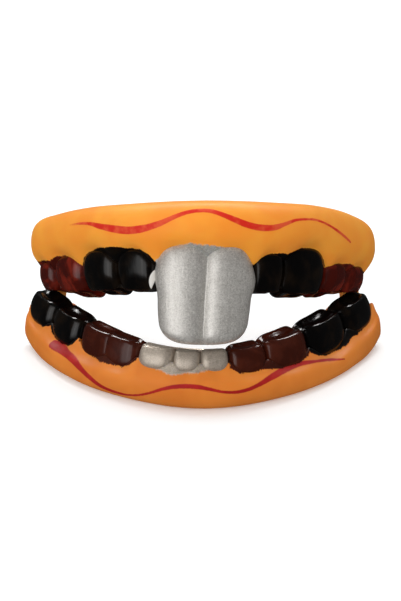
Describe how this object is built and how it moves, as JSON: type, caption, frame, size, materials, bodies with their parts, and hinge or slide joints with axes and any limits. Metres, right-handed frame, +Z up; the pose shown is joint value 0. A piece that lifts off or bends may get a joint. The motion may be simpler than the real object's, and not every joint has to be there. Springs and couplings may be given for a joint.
{
  "type": "costume bunny teeth",
  "caption": "Soft vinyl novelty dentures: gaping upper and lower gum channels with painted crowns and a long fused pair of silver front teeth.",
  "frame": {"origin": "bottom centre of the bounding box, on the plane that the lower gum's rim rests on", "axes": "+X to the viewer's right along the width, +Y towards the back of the mouth, +Z up from the lower rim"},
  "size_m": [0.0666, 0.0422, 0.037],
  "materials": {
    "gum_vinyl": "satin yellow-orange soft vinyl with a brushed red vein along each gum",
    "black_enamel": "thick glossy black enamel brushed on by hand",
    "brown_enamel": "glossy dark red-brown enamel, thinner and redder in places",
    "silver_paint": "metallic silver paint with flake and faint brush streaks"
  },
  "bodies": {
    "root": {"lower_gum": "gum_vinyl", "upper_gum": "gum_vinyl", "left_hinge_web": "gum_vinyl", "right_hinge_web": "gum_vinyl", "buck_teeth": "silver_paint", "lower_01_molar": "black_enamel", "lower_02_molar": "black_enamel", "lower_03_premolar": "brown_enamel", "lower_04_canine": "brown_enamel", "lower_05_incisor": "silver_paint", "lower_06_incisor": "silver_paint", "lower_07_incisor": "silver_paint", "lower_08_canine": "brown_enamel", "lower_09_premolar": "brown_enamel", "lower_10_molar": "black_enamel", "lower_11_molar": "black_enamel", "upper_01_molar": "brown_enamel", "upper_02_molar": "brown_enamel", "upper_03_premolar": "black_enamel", "upper_04_canine": "black_enamel", "upper_05_canine": "black_enamel", "upper_06_molar": "black_enamel", "upper_07_molar": "brown_enamel", "upper_08_molar": "brown_enamel"}
  },
  "joints": []
}
